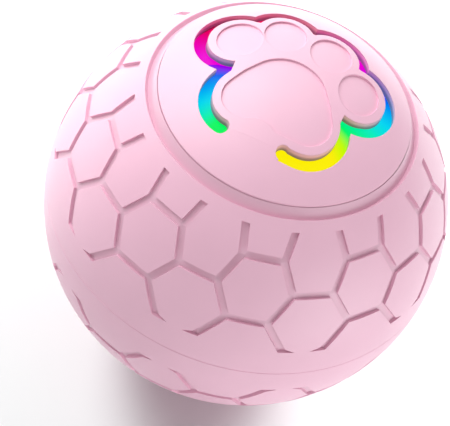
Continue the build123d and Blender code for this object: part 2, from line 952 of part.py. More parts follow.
def gear_outline(teeth):
    """Spur gear outline with involute flanks, the first tooth centred on +Y."""
    pitch = gear_module * teeth / 2
    base = pitch * math.cos(math.radians(pressure_angle))
    tip, root = pitch + gear_module, pitch - gear_module * 5 / 4
    half_tooth = 90 / teeth - math.degrees(gear_backlash / 4 / pitch)
    flank = [(r, half_tooth + involute(base, pitch) - involute(base, r)) for r in (base, pitch, tip)]
    side = [(root, flank[0][1]), *flank]
    points = []
    for middle in around(teeth, 90):
        points += [on_circle(radius, middle - angle) for radius, angle in side]
        points += [on_circle(radius, middle + angle) for radius, angle in side[::-1]]
    return make_face(Polyline(*points, close=True))


def drive_gear():
    """Large gear on the weight's axle, thinner between its hub and its rim."""
    root = gear_module * gear_teeth / 2 - gear_module * 5 / 4
    wheel = side_plate(Rot(0, 0, 180 / gear_teeth) * gear_outline(gear_teeth), gear_start, gear_start + gear_width)
    pocket = Circle(root - gear_rim_wall) - Circle(gear_hub_radius)
    depth = gear_width - gear_web_width
    wheel = wheel - side_plate(pocket, gear_start, gear_start + depth)
    wheel = wheel - cross_rod(axle_radius + thread_gap, gear_start, gear_start + gear_width)
    for y in (-rivet_place[0], rivet_place[0]):
        hole = cross_rod(rivet_radius + thread_gap, gear_start, gear_start + gear_width, y, rivet_place[1])
        wheel = wheel - hole
    return single(wheel)


def motor_pinion():
    """Small gear on the motor's shaft."""
    start = gear_start + gear_width / 2 - pinion_width / 2
    teeth = Pos(0, gear_centres) * Rot(0, 0, 180) * gear_outline(pinion_teeth)
    pinion = side_plate(teeth, start, start + pinion_width)
    bore = cross_rod(motor_shaft_radius + thread_gap, start, start + pinion_width, z=gear_centres)
    return single(pinion - bore)


def swing_weight():
    """Steel half disc that shakes the ball. It hangs below its axle at rest."""
    half = Circle(weight_radius) & Pos(0, -weight_radius / 2) * Rectangle(2 * weight_radius, weight_radius)
    weight = side_plate(half + Circle(weight_hub_radius), weight_start, weight_start + weight_thickness)
    weight = weight - cross_rod(axle_radius + thread_gap, weight_start, weight_start + weight_thickness)
    for y in (-rivet_place[0], rivet_place[0]):
        end = gear_start + gear_width - gear_web_width + rivet_length
        weight = weight - cross_rod(rivet_radius + thread_gap, weight_start, end, y, rivet_place[1])
    return single(weight)


def weight_rivets():
    """Two rivets that fasten the weight to the gear's web."""
    face = gear_start + gear_width - gear_web_width
    pins = []
    for y in (-rivet_place[0], rivet_place[0]):
        shank = cross_rod(rivet_radius, face, face + rivet_length, y, rivet_place[1])
        pins.append(shank + cross_rod(rivet_head_radius, face - rivet_head_height, face, y, rivet_place[1]))
    return Compound(pins)


def axle_bushes():
    """Two flanged bushes in the frames."""
    outside = axle_radius + running_clearance + bush_wall
    flange = frame_outside + bush_flange_thickness
    bush = cross_rod(outside, frame_inside, frame_outside) + cross_rod(bush_flange_radius, frame_outside, flange)
    bush = bush - cross_rod(axle_radius + running_clearance, frame_inside, flange)
    return Compound([bush, mirror(bush, Plane.YZ)])


def axle_clips():
    """Open rings on the axle's ends, outside the bushes."""
    start = frame_outside + bush_flange_thickness + clip_gap
    ring = Circle(clip_radius) - Circle(axle_radius + thread_gap)
    ring = ring - Pos(0, clip_radius / 2) * Rectangle(clip_mouth, clip_radius)
    clip = side_plate(ring, start, start + clip_thickness)
    return Compound([clip, mirror(clip, Plane.YZ)])


# Motor


def motor_case_sketch(radius):
    """Round motor outline with two flats."""
    return Pos(0, gear_centres) * (Circle(radius) & Rectangle(2 * motor_flat_half, 2 * radius))


def motor_can():
    """Drawn steel can with its front boss and screw holes."""
    end = -frame_outside - motor_length
    can = side_plate(motor_case_sketch(motor_radius), end, -frame_outside)
    can = can + cross_rod(motor_boss_radius, -frame_outside, motor_boss_length - frame_outside, z=gear_centres)
    shaft_room = motor_shaft_radius + running_clearance
    can = can - cross_rod(shaft_room, end - overrun, -frame_inside, z=gear_centres)
    for y in (-motor_screw_offset, motor_screw_offset):
        low = -frame_inside - motor_screw_length
        can = can - cross_rod(small_screw_radius + thread_gap, low, -frame_inside, y, gear_centres)
    return single(can)


def motor_end_cap():
    """Plastic end cap with two slots for the terminals."""
    start = -frame_outside - motor_length
    cap = side_plate(motor_case_sketch(motor_end_radius), start - motor_end_length, start)
    for side in (-1, 1):
        slot = Rectangle(terminal_width + thread_gap, terminal_thickness + thread_gap)
        place = Pos(0, gear_centres + side * terminal_offset)
        cap = cap - side_plate(place * slot, start - motor_end_length - overrun, start)
    return single(cap)


def motor_terminals():
    """Two brass tabs for the motor's leads."""
    end = -frame_outside - motor_length
    tab = Rectangle(terminal_width, terminal_thickness)
    start = end - motor_end_length - terminal_length
    return Compound([side_plate(Pos(0, gear_centres + side * terminal_offset) * tab, start, end)
                     for side in (-1, 1)])


def motor_shaft():
    """Steel shaft from inside the can through the pinion."""
    end = gear_start + gear_width / 2 + pinion_width / 2
    return cross_rod(motor_shaft_radius, -frame_outside - motor_shaft_tail, end, z=gear_centres)


def motor_screws():
    """Two screws that hold the motor to its frame."""
    back = Plane(origin=(-frame_inside, 0, 0), x_dir=(0, 1, 0), z_dir=(-1, 0, 0))
    return Compound([back * Pos(y, -gear_centres) * small_screw(motor_screw_length - thread_gap)
                     for y in (-motor_screw_offset, motor_screw_offset)])


# Control board


def control_board_start():
    """Inner face of the control board."""
    return frame_outside + standoff_length


def control_board_middle():
    """Height of the control board's middle."""
    return (standoff_low + standoff_high) / 2


def control_board():
    """Square board on the bearing frame's standoffs."""
    board = Pos(0, control_board_middle()) * Rectangle(2 * control_board_half, 2 * control_board_half)
    for y, z in standoff_places():
        board = board - Pos(y, z) * Circle(small_screw_radius + small_screw_clearance)
    return single(side_plate(board, control_board_start(), control_board_start() + control_board_thickness))


def control_screws():
    """Four screws through the control board."""
    face = control_board_start() + control_board_thickness
    back = Plane(origin=(face, 0, 0), x_dir=(0, 1, 0), z_dir=(-1, 0, 0))
    return Compound([back * Pos(y, -z) * small_screw(control_screw_length) for y, z in standoff_places()])


def board_chips():
    """Controller and motor driver on the control board's outer face."""
    face = control_board_start() + control_board_thickness
    middle = control_board_middle()
    controller = Pos(-chip_offset, middle) * Rectangle(chip_side, chip_side)
    driver = Pos(-chip_offset / 2, middle - chip_side) * Rectangle(driver_length, driver_width)
    return Compound([side_plate(chip, face, face + chip_height) for chip in (controller, driver)])


def motion_sensor():
    """Round motion sensor that wakes the ball when it is nudged."""
    x = control_board_start() + control_board_thickness + sensor_radius
    low = control_board_middle() - sensor_length / 2
    return rod(sensor_radius, x, chip_offset, low, low + sensor_length)


def wire_sockets():
    """Row of plug-in sockets for the battery, motor and light leads."""
    face = control_board_start() + control_board_thickness
    height = control_board_middle() + control_board_half - wire_socket_size
    blocks = []
    for k in range(socket_row_count):
        y = (k - (socket_row_count - 1) / 2) * wire_socket_pitch
        block = Pos(y, height) * Rectangle(wire_socket_size, wire_socket_size)
        room = Pos(y, height) * Rectangle(wire_socket_size * 2 / 3, wire_socket_size / 2)
        middle = face + wire_socket_height / 2
        end = face + wire_socket_height
        blocks.append(side_plate(block, face, end) - side_plate(room, middle, end))
    return Compound(blocks)


# Charging port


def charge_board():
    """Small board inside the charging cap, which carries the charging socket."""
    board = RectangleRounded(charge_board_length, charge_board_width, charge_post_radius)
    for side in (-1, 1):
        hole = Circle(small_screw_radius + small_screw_clearance)
        board = board - Pos(0, side * charge_post_offset) * hole
    return single(upright(board, charge_board_underside, charge_board_topside))


def charge_screws():
    """Two screws that hold the charge board on its posts."""
    one = Rot(180, 0, 0) * small_screw(charge_screw_length - thread_gap)
    return Compound([Pos(0, side * charge_post_offset, charge_board_topside) * one for side in (-1, 1)])


def socket_mouth():
    """Height of the charging socket's mouth."""
    return charge_board_underside - socket_height


def charge_socket():
    """Metal shell of the charging socket, open downwards."""
    shell = upright(stadium(socket_length, socket_width), socket_mouth(), charge_board_underside)
    room = stadium(socket_length - 2 * socket_wall, socket_width - 2 * socket_wall)
    back = charge_board_underside - overrun
    return single(shell - upright(room, socket_mouth() - overrun, back))


def socket_tongue():
    """Thin contact tongue inside the charging socket."""
    start = socket_mouth() + tongue_plate_setback
    return upright(Rectangle(tongue_plate_length, tongue_plate_width), start, charge_board_underside - overrun)


def port_plug():
    """Soft plug that closes the port: a head in the recess, a nose in the socket and a lift tab."""
    floor = recess_depth - ball_radius
    head = stadium(recess_length - 2 * plug_clearance, recess_width - 2 * plug_clearance)
    plug = upright(head, floor - plug_head_height, floor)
    room = 2 * (socket_wall + plug_nose_clearance)
    nose = stadium(socket_length - room, socket_width - room)
    plug = plug + upright(nose, floor, floor + plug_nose_length)
    grip = Pos(recess_length / 2 - plug_tab_length, 0) * stadium(plug_tab_length, plug_tab_width)
    return single(plug - upright(grip, floor - plug_head_height - overrun, floor - plug_head_height + plug_tab_height))


def main():
    """Build every piece and write it to its own file."""
    blank = shell_blank()
    dome = cap_dome()
    pieces = {
        "upper_shell": upper_shell(blank),
        "lower_shell": lower_shell(blank),
        "equator_seal": tube(
            seal_radius + seal_width / 2, seal_radius - seal_width / 2, -seal_height / 2, seal_height / 2
        ),
        "shell_screws": shell_screws(),
        "paw_cap": paw_cap(dome),
        "paw_button": paw_button(dome),
        "cap_screws": cap_screws(),
        "light_diffuser": diffuser(),
        "light_board": light_board(),
        "light_leds": leds(),
        "switch_body": switch_body(),
        "switch_plunger": switch_plunger(),
        "chassis_deck": deck(),
        "battery_cell": battery_cell(),
        "battery_foam": battery_foam(),
        "battery_cradle": battery_cradle(),
        "cradle_screws": cradle_screws(),
        "motor_frame": single(frame_plate(-1)),
        "bearing_frame": bearing_frame(),
        "frame_screws": frame_screws(),
        "weight_axle": cross_rod(axle_radius, -axle_half_length, axle_half_length),
        "axle_bushes": axle_bushes(),
        "axle_clips": axle_clips(),
        "drive_gear": drive_gear(),
        "swing_weight": swing_weight(),
        "weight_rivets": weight_rivets(),
        "motor_can": motor_can(),
        "motor_end_cap": motor_end_cap(),
        "motor_terminals": motor_terminals(),
        "motor_shaft": motor_shaft(),
        "motor_pinion": motor_pinion(),
        "motor_screws": motor_screws(),
        "control_board": control_board(),
        "control_screws": control_screws(),
        "board_chips": board_chips(),
        "motion_sensor": motion_sensor(),
        "wire_sockets": wire_sockets(),
        "charge_cap": charge_cap(dome),
        "charge_board": charge_board(),
        "charge_screws": charge_screws(),
        "charge_socket": charge_socket(),
        "socket_tongue": socket_tongue(),
        "port_plug": port_plug(),
    }
    os.makedirs("parts", exist_ok=True)
    for name, shape in pieces.items():
        export_step(shape, f"parts/{name}.step")


main()
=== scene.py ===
import bmesh
import bpy
import json
import math
from mathutils import Matrix, Vector


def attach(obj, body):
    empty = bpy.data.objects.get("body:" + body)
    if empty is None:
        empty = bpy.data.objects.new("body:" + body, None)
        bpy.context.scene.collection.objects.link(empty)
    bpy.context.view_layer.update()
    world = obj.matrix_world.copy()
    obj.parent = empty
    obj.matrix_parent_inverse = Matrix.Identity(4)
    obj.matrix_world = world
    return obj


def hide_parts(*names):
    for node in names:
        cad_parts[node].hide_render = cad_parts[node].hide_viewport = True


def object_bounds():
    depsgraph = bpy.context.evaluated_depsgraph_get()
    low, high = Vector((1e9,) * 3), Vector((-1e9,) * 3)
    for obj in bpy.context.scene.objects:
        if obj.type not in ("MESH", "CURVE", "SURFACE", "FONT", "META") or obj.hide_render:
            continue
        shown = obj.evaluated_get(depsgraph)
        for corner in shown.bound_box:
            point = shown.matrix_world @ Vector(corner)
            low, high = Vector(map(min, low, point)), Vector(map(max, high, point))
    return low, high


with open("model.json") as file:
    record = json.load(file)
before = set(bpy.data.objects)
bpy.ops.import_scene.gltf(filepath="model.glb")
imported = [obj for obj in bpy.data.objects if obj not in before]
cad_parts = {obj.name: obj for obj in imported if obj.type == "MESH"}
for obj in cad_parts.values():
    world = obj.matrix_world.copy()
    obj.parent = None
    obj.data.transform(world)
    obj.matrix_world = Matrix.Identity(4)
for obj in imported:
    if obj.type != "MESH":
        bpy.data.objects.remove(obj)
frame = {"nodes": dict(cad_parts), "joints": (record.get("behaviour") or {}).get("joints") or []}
cad_low, cad_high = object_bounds()

# Unless a comment says otherwise, lengths are in metres, angles in degrees, and colours linear

# The ball's size and the floor's height, from the frame
BALL_RADIUS = cad_high[0]
FLOOR_HEIGHT = cad_low[2]

# Camera, fitted to the photograph: outline in pixels of the picture, distance in ball radii, sensor in millimetres
PICTURE_WIDTH, PICTURE_HEIGHT = 450, 426
BALL_CENTRE_X, BALL_CENTRE_Y = 246.1, 203.05
BALL_OUTLINE_RADIUS = 202.45
CAMERA_ELEVATION = 50.0
CAMERA_ROLL = 21.36
CAMERA_DISTANCE = 10.25
CAMERA_CLIP = (0.01, 20.0)
SENSOR_WIDTH = 36.0

# Pinks of the outside; the second, third and fourth are painted shade, darker pinks for the grooves, the ring channel
# and the light slot's walls
PINK = (0.92, 0.54, 0.685)
GROOVE_SHADE_PINK = (0.84, 0.525, 0.65)
RING_SHADE_PINK = (0.82, 0.49, 0.615)
SLOT_SHADE_PINK = (0.37, 0.27, 0.39)
SEAL_PINK = (0.62, 0.28, 0.38)
PLUG_PINK = (0.74, 0.38, 0.50)

# Depths below the ball's surface at which the painted shade in grooves and slots starts and is full, and the heights,
# above or below the ball's middle, between which the grooves' painted shade goes over into the ring channel's
GROOVE_DEPTHS = (0.00016, 0.00034)
SLOT_DEPTHS = (0.0006, 0.0012)
RING_HEIGHTS = (0.0310, 0.0315)

# Finishes: what surface() is told about each, and the CAD nodes that have it
FINISHES = {
    "soft_touch_shell": (
        {"colour": PINK, "roughness": 0.45, "coat": 0.3, "grain_depth": 0.00001, "edge": 0.00007,
         # Painted shade: darker pinks deep in the grooves and the ring channel
         "recess_shade": (GROOVE_DEPTHS, GROOVE_SHADE_PINK, RING_SHADE_PINK)},
        ("upper_shell", "lower_shell"),
    ),
    "satin_cap": (
        {"colour": PINK, "roughness": 0.42, "coat": 0.3, "grain_depth": 0.000008, "edge": 0.0002,
         # Painted shade: a dark mauve on the light slot's walls
         "bare_hinge": True, "recess_shade": (SLOT_DEPTHS, SLOT_SHADE_PINK, SLOT_SHADE_PINK)},
        ("paw_cap", "paw_button", "charge_cap"),
    ),
    "seal_silicone": (
        {"colour": SEAL_PINK, "roughness": 0.6},
        ("equator_seal",),
    ),
    "plug_silicone": (
        {"colour": PLUG_PINK, "roughness": 0.62, "subsurface": 0.1, "edge": 0.0002},
        ("port_plug",),
    ),
    "plated_steel": (
        {"colour": (0.55, 0.55, 0.57), "roughness": 0.32, "metallic": 1.0, "stretch": (1, 1, 0.05)},
        ("shell_screws", "cap_screws", "cradle_screws", "frame_screws", "axle_clips", "weight_rivets",
         "motor_screws", "control_screws", "charge_screws"),
    ),
    "ground_steel": (
        {"colour": (0.62, 0.62, 0.64), "roughness": 0.22, "metallic": 1.0, "stretch": (0.05, 1, 1)},
        ("weight_axle", "motor_shaft", "charge_socket", "motion_sensor", "motor_can"),
    ),
    "sintered_steel": (
        {"colour": (0.30, 0.30, 0.31), "roughness": 0.5, "metallic": 1.0, "grain": 1600.0, "grain_depth": 0.00005},
        ("swing_weight",),
    ),
    "turned_brass": (
        {"colour": (0.62, 0.44, 0.16), "roughness": 0.3, "metallic": 1.0, "stretch": (0.1, 1, 1)},
        ("axle_bushes", "motor_terminals", "motor_pinion"),
    ),
    "natural_nylon": (
        {"colour": (0.70, 0.68, 0.60), "roughness": 0.5, "subsurface": 0.1},
        ("drive_gear", "wire_sockets"),
    ),
    "chassis_plastic": (
        {"colour": (0.065, 0.068, 0.075), "roughness": 0.55, "grain_depth": 0.00003},
        ("chassis_deck", "battery_cradle", "motor_frame", "bearing_frame"),
    ),
    "black_plastic": (
        {"colour": (0.012, 0.012, 0.013), "roughness": 0.4},
        ("switch_body", "motor_end_cap", "board_chips", "socket_tongue"),
    ),
    "red_plunger": (
        {"colour": (0.35, 0.01, 0.008), "roughness": 0.35},
        ("switch_plunger",),
    ),
    "shrink_sleeve": (
        {"colour": (0.02, 0.10, 0.32), "roughness": 0.25, "coat": 0.5},
        ("battery_cell",),
    ),
    "cell_foam": (
        {"colour": (0.02, 0.02, 0.02), "roughness": 0.9, "grain": 900.0, "grain_depth": 0.0001},
        ("battery_foam",),
    ),
}

# What those finishes share. Clouds: change of the colour, and scale. Grain: change of the roughness, and detail
CLOUD_CHANGE, CLOUD_SCALE = 0.03, 120.0
GRAIN_CHANGE, GRAIN_DETAIL = 0.05, 2.0
COAT_ROUGHNESS = 0.38
# Samples that shade a rounded edge
EDGE_SAMPLES = 6
# How far light goes under a soft surface in red, green and blue, times a length
SUBSURFACE_RADIUS, SUBSURFACE_SCALE = (1.0, 0.45, 0.5), 0.0012
# Range in which most of a noise texture's values lie
NOISE_RANGE = (0.3, 0.7)

# Glow in the light slot: its colours, and where they lie, as angles about the ball's axis from +X
GLOW_COLOURS = {
    "yellow": (0.97, 0.85, 0.00),
    "lime": (0.50, 0.95, 0.00),
    "green": (0.00, 0.92, 0.12),
    "teal": (0.00, 0.84, 0.50),
    "cyan": (0.00, 0.68, 0.86),
    "azure": (0.00, 0.40, 0.90),
    "blue": (0.00, 0.12, 0.88),
    "violet": (0.30, 0.00, 0.84),
    "magenta": (0.87, 0.00, 0.66),
    "red": (0.80, 0.00, 0.12),
}
GLOW_STOPS = (
    (-122, "green"), (-100, "yellow"), (-42, "yellow"), (-30, "lime"), (-20, "green"), (-2, "teal"), (11, "cyan"),
    (22, "azure"), (31, "blue"), (38, "violet"), (56, "magenta"), (90, "red"), (150, "red"), (171, "magenta"),
    (182, "violet"), (191, "blue"), (203, "azure"), (212, "cyan"), (221, "teal"), (230, "green"),
)
# The diffuser's own surface, nearly black and without shine, so that the lamps do not pale the glow
DIFFUSER_COLOUR = (0.006, 0.006, 0.006)
DIFFUSER_SPECULAR = 0.05
DIFFUSER_GRAIN, DIFFUSER_ROUGHNESS = 600.0, (0.45, 0.60)

# Circuit boards: solder mask in two greens and the green over the traces, their pattern, and the mask's grain
MASK_GREENS = ((0.008, 0.085, 0.032), (0.011, 0.105, 0.040))
TRACE_GREEN = (0.013, 0.122, 0.047)
TRACE_SCALE, TRACE_WIDTH = 110.0, 0.025
BOARD_GRAIN, BOARD_ROUGHNESS = 900.0, (0.28, 0.38)

# Lamps on the light board: number, radius of their circle, the two radii between which a lamp's round window goes
# over into its body, colours and roughness of window and body, and how deep the window lies
LAMP_COUNT = 8
LAMP_CIRCLE = 0.0165
LAMP_WINDOW = (0.0017, 0.0018)
LAMP_RESIN, LAMP_BODY = (0.80, 0.66, 0.20), (0.76, 0.75, 0.70)
LAMP_ROUGHNESS = (0.12, 0.45)
LAMP_RELIEF = 0.0001

# Soft pieces that get rounded edges: CAD node, name of the piece, its body, its slot, and the rounding's width
SOFT_PIECES = (
    ("port_plug", "moulded_plug", "port_plug", "plug_rubber", 0.0002),
    ("equator_seal", "moulded_seal", "ball", "seal_rubber", 0.0002),
    ("battery_foam", "cut_foam", "ball", "foam_black", 0.00015),
)
# Their corners closer than this are one corner, faces that meet at less than the first angle are one flat, and edges
# steeper than the second stay sharp until they are rounded in this many steps
WELD_DISTANCE = 0.000001
FLAT_ANGLE, SHARP_ANGLE = 0.5, 30.0
ROUNDING_STEPS = 3

# The paw plate's bending line, which the moulding hides: its gap, how near to the gap's edge the corners lie that
# close it, and the bare strip without rounded edges
HINGE = next(joint for joint in frame["joints"] if joint["name"] == "paw_press")
HINGE_GAP, HINGE_TOLERANCE = 0.00005, 0.000005
HINGE_STRIP = 0.0006

# Lamps: direction seen from the camera (right, up, towards it), distance, size, and the share of full white that a
# lamp gives a white surface facing it
BALL_LAMPS = {
    "key_softbox": ((-0.22, 0.82, 0.53), 0.60, 0.50, 0.66),
    "left_softbox": ((-0.66, 0.74, 0.05), 0.60, 0.70, 0.42),
    "top_softbox": ((0.05, 0.99, 0.05), 0.60, 0.70, 0.36),
    "fill_softbox": ((0.62, -0.75, 0.22), 0.60, 0.50, 0.47),
}
# Lamps of the floor, which light it alone and from both sides, so that it is white round a small shadow
FLOOR_LAMPS = {
    "floor_left_softbox": ((-0.46, 0.89, 0.09), 0.80, 0.34, 1.52),
    "floor_right_softbox": ((0.78, 0.61, 0.00), 0.80, 0.40, 1.60),
    "floor_back_softbox": ((0.40, 0.90, 0.12), 0.60, 1.00, 0.20),
}

# Floor: its colour and its own light, first for rays from the camera, a mirror or a glass, then for the light that it
# throws on the ball, and the distances from its middle between which it goes over into the white surroundings
FLOOR_SEEN, FLOOR_CAST = (0.79, 0.83, 0.82), (0.40, 0.40, 0.40)
FLOOR_SEEN_LIFT, FLOOR_CAST_LIFT = 0.01, 0.14
FLOOR_FADE = (0.14, 0.60)
FLOOR_SIZE = 6.0
FLOOR_ROUGHNESS = 0.9
# Light of the surroundings on the ball and the floor, as a share of white
WORLD_LEVEL = 0.36


# Nodes


def new_material(name):
    """Empty node material with its node tree and its Principled shader."""
    material = bpy.data.materials.new(name)
    material.use_nodes = True
    return material, material.node_tree, material.node_tree.nodes["Principled BSDF"]


def feed(tree, inputs, values):
    """Gives inputs, by name or number, their values: plain ones, or other nodes' outputs."""
    for key, value in values.items():
        if isinstance(value, bpy.types.NodeSocket):
            tree.links.new(value, inputs[key])
        else:
            inputs[key].default_value = value


def add_node(tree, kind, values, **settings):
    """Shader node with its settings and the values of its inputs."""
    node = tree.nodes.new("ShaderNode" + kind)
    for setting, choice in settings.items():
        setattr(node, setting, choice)
    feed(tree, node.inputs, values)
    return node


def object_place(tree):
    """Place on the object, in the frame's coordinates."""
    return add_node(tree, "TexCoord", {}).outputs["Object"]


def separated(tree, vector):
    """The three coordinates of a vector."""
    return add_node(tree, "SeparateXYZ", {"Vector": vector}).outputs


def length(tree, vector):
    """Length of a vector."""
    return add_node(tree, "VectorMath", {0: vector}, operation="LENGTH").outputs["Value"]


def calculated(tree, operation, first, second=0.0):
    """Result of one calculation, each side of which is a number or another node's output."""
    return add_node(tree, "Math", {0: first, 1: second}, operation=operation).outputs[0]


def noise(tree, coordinates, scale, detail=3.0):
    """Noise texture over the given coordinates."""
    return add_node(tree, "TexNoise", {"Vector": coordinates, "Scale": scale, "Detail": detail}).outputs["Fac"]


def ranged(tree, value, source=(0.0, 1.0), target=(0.0, 1.0)):
    """Carries a value over from one range to another, and keeps it inside."""
    return add_node(tree, "MapRange", {
        "Value": value, "From Min": source[0], "From Max": source[1], "To Min": target[0], "To Max": target[1],
    }).outputs["Result"]


def mixed(tree, factor, first, second):
    """Colour mix, each side of which is a plain colour or another node's output."""
    sides = [side if isinstance(side, bpy.types.NodeSocket) else (*side, 1) for side in (first, second)]
    return add_node(tree, "Mix", {"Factor": factor, "A": sides[0], "B": sides[1]}, data_type="RGBA").outputs["Result"]


def shaded(colour, factor):
    """A colour made lighter or darker."""
    return tuple(min(1.0, part * factor) for part in colour)


# Materials


def hinge_plane():
    """Upright plane through the paw plate's bending line: the direction across it, towards the paw, and its offset."""
    across = Vector((0, 0, 1)).cross(Vector(HINGE["axis"])).normalized()
    if across.y < 0:
        across.negate()
    return across, across.dot(Vector(HINGE["pos_m"]))


def away_from_hinge(tree, place, edge):
    """Radius of the rounded edges: nothing on the paw plate's bending line, the full radius beside it."""
    across, line = hinge_plane()
    reach = add_node(tree, "VectorMath", {0: place, 1: across}, operation="DOT_PRODUCT").outputs["Value"]
    distance = calculated(tree, "ABSOLUTE", calculated(tree, "SUBTRACT", reach, line))
    return ranged(tree, distance, (HINGE_STRIP / 2, HINGE_STRIP), (0.0, edge))


def painted_recess_shade(tree, place, colours, depths, groove_shade, ring_shade):
    """Painted shade on what lies deeper than the ball's surface: one darker pink in the grooves, another in the ring
    channel.
    """
    depth = ranged(tree, length(tree, place), (BALL_RADIUS - depths[0], BALL_RADIUS - depths[1]))
    height = calculated(tree, "ABSOLUTE", separated(tree, place)["Z"])
    shades = mixed(tree, ranged(tree, height, RING_HEIGHTS), groove_shade, ring_shade)
    return mixed(tree, depth, colours, shades)


def surface(name, colour, roughness, metallic=0.0, coat=0.0, subsurface=0.0, grain=2500.0, grain_depth=0.000012,
            stretch=(1, 1, 1), edge=0.0, bare_hinge=False, recess_shade=None):
    """Procedural surface: clouded colour, fine grain in roughness and relief, rounded edges, and, where given, painted
    shade in its hollows.
    """
    material, tree, shader = new_material(name)
    place = object_place(tree)
    stretched = add_node(tree, "Mapping", {"Vector": place, "Scale": stretch}).outputs["Vector"]
    fine = noise(tree, stretched, grain, GRAIN_DETAIL)
    cloud = noise(tree, place, CLOUD_SCALE)
    colours = mixed(tree, cloud, shaded(colour, 1 - CLOUD_CHANGE), shaded(colour, 1 + CLOUD_CHANGE))
    # Painted shade: darker pinks where the surface lies below the ball's
    if recess_shade:
        colours = painted_recess_shade(tree, place, colours, *recess_shade)
    relief = {"Height": fine, "Distance": grain_depth}
    if edge:
        radius = away_from_hinge(tree, place, edge) if bare_hinge else edge
        relief["Normal"] = add_node(tree, "Bevel", {"Radius": radius}, samples=EDGE_SAMPLES).outputs["Normal"]
    feed(tree, shader.inputs, {
        "Base Color": colours,
        "Roughness": ranged(tree, fine, NOISE_RANGE, (roughness - GRAIN_CHANGE, roughness + GRAIN_CHANGE)),
        "Metallic": metallic,
        "Coat Weight": coat,
        "Coat Roughness": COAT_ROUGHNESS,
        "Normal": add_node(tree, "Bump", relief).outputs["Normal"],
    })
    if subsurface:
        feed(tree, shader.inputs, {
            "Subsurface Weight": subsurface,
            "Subsurface Radius": SUBSURFACE_RADIUS,
            "Subsurface Scale": SUBSURFACE_SCALE,
        })
    return material


def glowing_diffuser():
    """Frosted plastic lit from below, whose colour runs round the ball's axis."""
    material, tree, shader = new_material("glowing_diffuser")
    place = object_place(tree)
    sweep = add_node(tree, "TexGradient", {"Vector": place}, gradient_type="RADIAL").outputs["Fac"]
    ramp = add_node(tree, "ValToRGB", {"Fac": sweep})
    elements = ramp.color_ramp.elements
    stops = sorted(((angle + 180) / 360 % 1, GLOW_COLOURS[colour]) for angle, colour in GLOW_STOPS)
    # New elements start in the middle and get their places after that
    while len(elements) < len(stops):
        elements.new(0.5)
    for element, (position, colour) in zip(elements, stops):
        element.position = position
        element.color = (*colour, 1)
    feed(tree, shader.inputs, {
        "Emission Color": ramp.outputs["Color"],
        "Emission Strength": 1.0,
        "Base Color": (*DIFFUSER_COLOUR, 1),
        "Specular IOR Level": DIFFUSER_SPECULAR,
        "Roughness": ranged(tree, noise(tree, place, DIFFUSER_GRAIN), NOISE_RANGE, DIFFUSER_ROUGHNESS),
    })
    return material


def circuit_board():
    """Green solder mask, lighter where a grid of copper traces shows through."""
    material, tree, shader = new_material("circuit_board")
    place = object_place(tree)
    traces = add_node(tree, "TexBrick", {
        "Vector": place, "Scale": TRACE_SCALE, "Mortar Size": TRACE_WIDTH,
        "Color1": (*MASK_GREENS[0], 1), "Color2": (*MASK_GREENS[1], 1), "Mortar": (*TRACE_GREEN, 1),
    })
    feed(tree, shader.inputs, {
        "Base Color": traces.outputs["Color"],
        "Roughness": ranged(tree, noise(tree, place, BOARD_GRAIN), NOISE_RANGE, BOARD_ROUGHNESS),
    })
    return material


def lamp_bodies():
    """White lamp bodies, each with a round window of yellow resin."""
    material, tree, shader = new_material("lamp_bodies")
    along = separated(tree, object_place(tree))
    radius = length(tree, add_node(tree, "CombineXYZ", {"X": along["X"], "Y": along["Y"]}).outputs[0])
    # Angle from the nearest lamp's radius, in radians, and from it the distance from the lamp's middle
    sector = 2 * math.pi / LAMP_COUNT
    turn = calculated(tree, "ARCTAN2", along["Y"], along["X"])
    turn = calculated(tree, "FLOORED_MODULO", turn, sector)
    turn = calculated(tree, "SUBTRACT", turn, sector / 2)
    across = calculated(tree, "MULTIPLY", radius, calculated(tree, "SINE", turn))
    outward = calculated(tree, "MULTIPLY", radius, calculated(tree, "COSINE", turn))
    outward = calculated(tree, "SUBTRACT", outward, LAMP_CIRCLE)
    squares = [calculated(tree, "MULTIPLY", side, side) for side in (across, outward)]
    distance = calculated(tree, "SQRT", calculated(tree, "ADD", *squares))
    body = ranged(tree, distance, LAMP_WINDOW)
    feed(tree, shader.inputs, {
        "Base Color": mixed(tree, body, LAMP_RESIN, LAMP_BODY),
        "Roughness": ranged(tree, body, target=LAMP_ROUGHNESS),
        "Normal": add_node(tree, "Bump", {"Height": body, "Distance": LAMP_RELIEF}).outputs["Normal"],
    })
    return material


def paint(names, material):
    """Gives one material to CAD nodes."""
    for name in names:
        mesh = frame["nodes"][name].data
        mesh.materials.clear()
        mesh.materials.append(material)


def paint_everything():
    """One finished material for each node."""
    for name, (values, names) in FINISHES.items():
        paint(names, surface(name, **values))
    paint(["light_diffuser"], glowing_diffuser())
    paint(["light_board", "control_board", "charge_board"], circuit_board())
    paint(["light_leds"], lamp_bodies())


# Pieces


def stand_in(node, name, body):
    """Copy of a CAD node that takes its place and rides on its body."""
    original = frame["nodes"][node]
    piece = original.copy()
    piece.data = original.data.copy()
    piece.name = name
    bpy.context.scene.collection.objects.link(piece)
    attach(piece, body)
    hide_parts(node)
    return piece


def closed_paw_plate():
    """Paw plate whose bridge meets the cap, as the moulding does, so that no gap shows on the bending line."""
    piece = stand_in("paw_button", "paw_plate", "paw_button")
    across, line = hinge_plane()
    for corner in piece.data.vertices:
        if abs(across.dot(corner.co) - line - HINGE_GAP) < HINGE_TOLERANCE:
            corner.co -= across * HINGE_GAP


